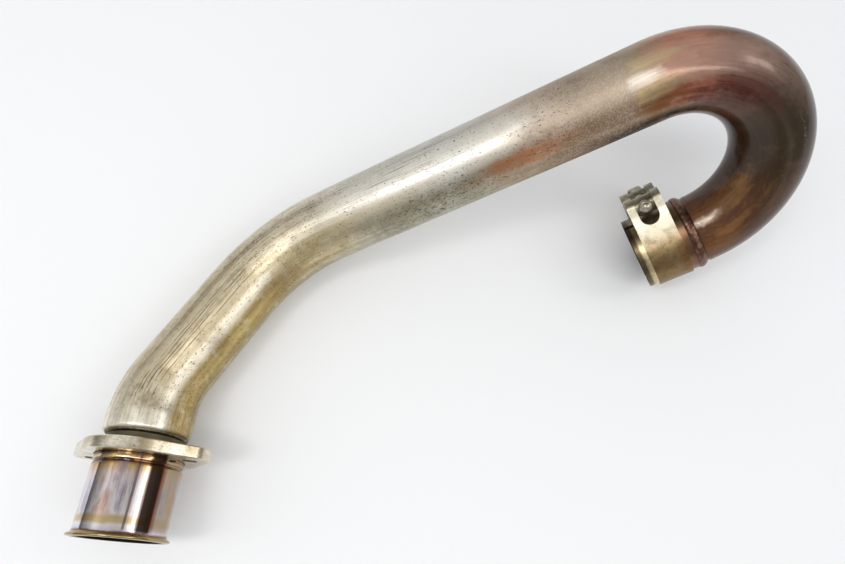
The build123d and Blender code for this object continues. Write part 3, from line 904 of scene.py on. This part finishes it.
# %% Socket finish
SOCKET_LENGTH = 0.0345
outlet_at = tuple(outlet_place * MM)
straw = Recipe("socket_steel", None)
broad = straw.noise(80.0, 5.0, 0.6)
reach = straw.along(outlet_heading, outlet_at)
colour = straw.ramp(straw.line(broad, 0.25, straw.maths("DIVIDE", reach, SOCKET_LENGTH)), [
    (0.05, (92, 66, 58)), (0.28, (126, 94, 72)), (0.45, (172, 150, 114)), (0.95, (226, 212, 178)),
    (1.0, (206, 188, 148))])
mottle = straw.noise(260.0, 6.0, 0.65)
colour = straw.mix(straw.spread(mottle, 0.52, 0.70, 0.0, 0.55), colour, (104, 82, 56))
# Painted shadow of the clamp's barrels on the side towards the bolt.
barrel_shadow = straw.spread(straw.along(clamp_out, outlet_at), 0.004, 0.016, 0.0, 0.80)
colour = straw.mix(barrel_shadow, colour, (98, 82, 60))
mouth = straw.spread(reach, 0.0306, 0.0324)
colour = straw.mix(straw.times(mouth, 0.85), colour, (58, 47, 35))
inside = straw.spread(straw.off_axis(outlet_at, outlet_heading), 0.0224, 0.0230, 1.0, 0.0)
colour = straw.mix(inside, colour, (38, 33, 29))
straw.bump(broad, 0.06, 0.0004)
rough = straw.maths("MAXIMUM", straw.line(broad, 0.2, 0.2), straw.times(inside, 0.7))
straw.done(colour, rough, solids["outlet_socket"])

# %% [markdown]
# ## Clamp band
# The band is bright pressed strip. It fades to straw on the side away from the bolt, is brown along
# the edge next to the weld, and its looped ends are grey, partly with dirt and partly with painted
# shade. The height towards the bolt decides most of it, so that height is measured first.

# %% Band finish
BAND_HEIGHT = 0.05
band = Recipe("band_steel", None)
rise = band.along(clamp_out, outlet_at)
away = band.along(outlet_heading, outlet_at)
broad = band.noise(60.0, 1.5, 0.45)
grime = band.noise(190.0, 7.0, 0.70)
colour = band.ramp(band.line(broad, 0.30, band.maths("DIVIDE", rise, BAND_HEIGHT)), [
    (0.0, (136, 112, 78)), (0.22, (166, 146, 110)), (0.42, (192, 182, 158)), (0.62, (206, 202, 190))])
weld_side = band.times(band.spread(away, 0.0065, 0.0150, 1.0, 0.0), band.spread(rise, 0.016, -0.004))
weld_share = band.times(weld_side, band.spread(grime, 0.32, 0.52, 0.35, 0.95))
colour = band.mix(weld_share, colour, (126, 90, 58))
low = band.spread(rise, 0.022, 0.004, 0.30, 1.0)
colour = band.mix(band.times(band.spread(grime, 0.46, 0.66, 0.0, 0.65), low), colour, (108, 84, 56))
# Looped ends: partly dirt, partly painted shade.
loop_dirt_and_shade = band.spread(rise, 0.0255, 0.0285, 0.0, 0.75)
colour = band.mix(loop_dirt_and_shade, colour, band.ramp(grime, [(0.38, (92, 86, 66)), (0.60, (172, 166, 144))]))
band.bump(band.noise(240.0, 3.0, 0.5), 0.05, 0.0003)
band.bump(broad, 0.06, 0.0015)
band.done(colour, band.line(grime, 0.25, 0.24), solids["clamp_band"])

# %% [markdown]
# ## Bolt
# The bolt was zinc plated and has gone grey and blotchy. Two colours and a fine grain are enough,
# because the thread and the point are real shapes.

# %% Bolt finish
zinc = Recipe("bolt_steel")
mottle = zinc.noise(500.0, 5.0, 0.6)
colour = zinc.mix(zinc.spread(mottle, 0.4, 0.7), (206, 202, 188), (146, 136, 114))
zinc.bump(zinc.noise(1200.0, 3.0, 0.6), 0.12, 0.0002)
zinc.done(colour, zinc.line(mottle, 0.25, 0.22), bolt)

# %% [markdown]
# ## Floor and light
# The header lies on a pale floor. A long strip lamp overhead draws the long soft highlight on the tube.
# A corner lamp and a window add the short ones on the outlet leg and the return bend. A weak fill
# from the left lifts the shadows, and reflections don't see it.

# %% Floor and lamps
FLOOR_HALF = 20.0
corners = FLOOR_HALF * np.array([(-1, -1, 0), (1, -1, 0), (1, 1, 0), (-1, 1, 0)])
floor_mesh = bpy.data.meshes.new("floor")
floor_mesh.from_pydata(corners.tolist(), [], [(0, 1, 2, 3)])
floor = bpy.data.objects.new("floor", floor_mesh)
bpy.context.scene.collection.objects.link(floor)
paper = bpy.data.materials.new("floor_paper")
paper.use_nodes = True
paper_skin = paper.node_tree.nodes["Principled BSDF"]
paper_skin.inputs["Base Color"].default_value = (0.87, 0.87, 0.865, 1)
paper_skin.inputs["Roughness"].default_value = 0.9
floor_mesh.materials.append(paper)


def lamp(name, place, aim, size, power):
    """Soft rectangular lamp at a place, turned to look at a point."""
    light = bpy.data.lights.new(name, "AREA")
    light.shape = "RECTANGLE"
    light.size, light.size_y = size
    light.energy = power
    thing = bpy.data.objects.new(name, light)
    thing.location = place
    away = np.array(place) - np.array(aim)
    thing.rotation_euler = (np.arccos(away[2] / np.linalg.norm(away)), 0, np.arctan2(away[0], -away[1]))
    bpy.context.scene.collection.objects.link(thing)
    return thing


strip_lamp = lamp("strip", (0.0, -0.337, 1.20), (0.045, 0.0, 0.03), (2.2, 0.14), 4.7)
fill = lamp("left", (-1.20, -0.30, 0.70), (0, 0, 0.03), (0.8, 0.8), 1.1)
fill.visible_glossy = False
corner = lamp("corner", (-0.45, -0.19, 1.20), (-0.45, -0.20, 0.0), (0.50, 0.17), 1.9)
corner.rotation_euler = (0.0, 0.0, radians(45.0))
window = lamp("window", (1.27, 0.28, 1.20), (0.12, 0.05, 0.08), (0.36, 0.44), 1.9)
print("floor and four lamps")

# %% [markdown]
# Bright metal shows what stands round it. A photographer hangs white sheets with dark gaps between
# them, so the metal has something to show. The sky that only reflections see has such soft bands,
# under a dimmer and slightly warm ceiling. Everything else is lit by a plain sky.

# %% Soft bands for the reflections
WHITE = (1.0, 1.0, 1.0)
WARM = (1.0, 0.975, 0.92)
ACROSS = [(-1, 0.16), (-0.97, 0.32), (-0.87, 0.52), (-0.69, 0.95), (-0.46, 0.98), (-0.19, 1.04),
          (0.1, 0.95), (0.40, 0.92), (0.52, 1.0), (0.58, 1.45), (0.68, 1.45), (0.76, 0.80),
          (0.87, 0.50), (1, 0.30)]
DEPTH = [(-1, 0.30), (-0.83, 0.46), (-0.6, 0.70), (-0.3, 1.0), (0.03, 1.0), (0.34, 0.92),
         (0.6, 0.60), (0.8, 0.42), (1, 0.34)]
CEILING = [(-1, 1.0), (0.72, 1.0), (0.92, 0.68), (1, 0.62)]
world = bpy.data.worlds.new("studio")
bpy.context.scene.world = world
world.use_nodes = True
sky = world.node_tree
look = sky.nodes.new("ShaderNodeTexCoord")
parts = sky.nodes.new("ShaderNodeSeparateXYZ")
sky.links.new(look.outputs["Generated"], parts.inputs[0])


def sky_ramp(source, stops, tint=WHITE):
    """Level from one part of the looking direction, which runs from -1 to 1, times a tint."""
    half = sky.nodes.new("ShaderNodeMath")
    half.operation = "MULTIPLY_ADD"
    half.inputs[1].default_value = 0.5
    half.inputs[2].default_value = 0.5
    sky.links.new(source, half.inputs[0])
    ramp = sky.nodes.new("ShaderNodeValToRGB")
    ramp.color_ramp.interpolation = "EASE"
    sky.links.new(half.outputs[0], ramp.inputs["Fac"])
    points = ramp.color_ramp.elements
    while len(points) < len(stops):
        points.new(0.5)
    for point, (place, grey) in zip(points, stops):
        point.position = (place + 1) / 2
        point.color = (*(grey * np.array(tint)), 1)
    return ramp.outputs["Color"]


def sky_product(a, b):
    """Product of two colours of the sky."""
    node = sky.nodes.new("ShaderNodeMix")
    node.data_type, node.blend_type = "RGBA", "MULTIPLY"
    node.inputs["Factor"].default_value = 1.0
    sky.links.new(a, node.inputs[6])
    sky.links.new(b, node.inputs[7])
    return node.outputs[2]


sheets = sky_product(sky_ramp(parts.outputs["X"], ACROSS), sky_ramp(parts.outputs["Y"], DEPTH))
bands = sky_product(sheets, sky_ramp(parts.outputs["Z"], CEILING, WARM))
print("soft bands:", len(ACROSS), "across,", len(DEPTH), "deep")

# %% [markdown]
# One world has to serve three kinds of ray. Light Path tells them apart: reflections get the bands, the
# camera gets a pale backdrop that matches the floor, and all other rays get the plain sky.

# %% Sky for each kind of ray
plain_sky = sky.nodes["Background"]
plain_sky.inputs["Color"].default_value = (0.72, 0.73, 0.75, 1)
plain_sky.inputs["Strength"].default_value = 1.0
banded_sky = sky.nodes.new("ShaderNodeBackground")
banded_sky.inputs["Strength"].default_value = 1.0
sky.links.new(bands, banded_sky.inputs["Color"])
pale_sky = sky.nodes.new("ShaderNodeBackground")
pale_sky.inputs["Color"].default_value = (0.74, 0.745, 0.75, 1)
ray = sky.nodes.new("ShaderNodeLightPath")


def sky_choice(kind, otherwise, chosen):
    """One sky for a kind of ray, and another for the rest."""
    node = sky.nodes.new("ShaderNodeMixShader")
    sky.links.new(ray.outputs[kind], node.inputs[0])
    sky.links.new(otherwise, node.inputs[1])
    sky.links.new(chosen, node.inputs[2])
    return node.outputs[0]


lit = sky_choice("Is Glossy Ray", plain_sky.outputs[0], banded_sky.outputs[0])
seen = sky_choice("Is Camera Ray", lit, pale_sky.outputs[0])
sky.links.new(seen, sky.nodes["World Output"].inputs["Surface"])
bpy.context.scene.view_settings.view_transform = "Standard"
print("sky ready")

# %% [markdown]
# ## Camera
# The camera looks steeply down, as a person looks at a part on a bench, through a fairly wide lens.
# Its place and its turn were fitted together with the bends, so they are plain numbers here.

# %% Camera
camera_data = bpy.data.cameras.new("camera")
camera_data.sensor_fit = "HORIZONTAL"
camera_data.sensor_width = 36.0
camera_data.lens = 25.162
camera_data.clip_start, camera_data.clip_end = 0.01, 20.0
camera = bpy.data.objects.new("camera", camera_data)
camera.location = (-0.015379, -0.089641, 0.390681)
camera.rotation_euler = (radians(16.86), radians(-2.073), radians(6.267))
bpy.context.scene.collection.objects.link(camera)
bpy.context.scene.camera = camera
down = np.cos(camera.rotation_euler[0]) * np.cos(camera.rotation_euler[1])
print("camera looks down at", round(float(np.degrees(np.arcsin(down))), 1), "degrees")
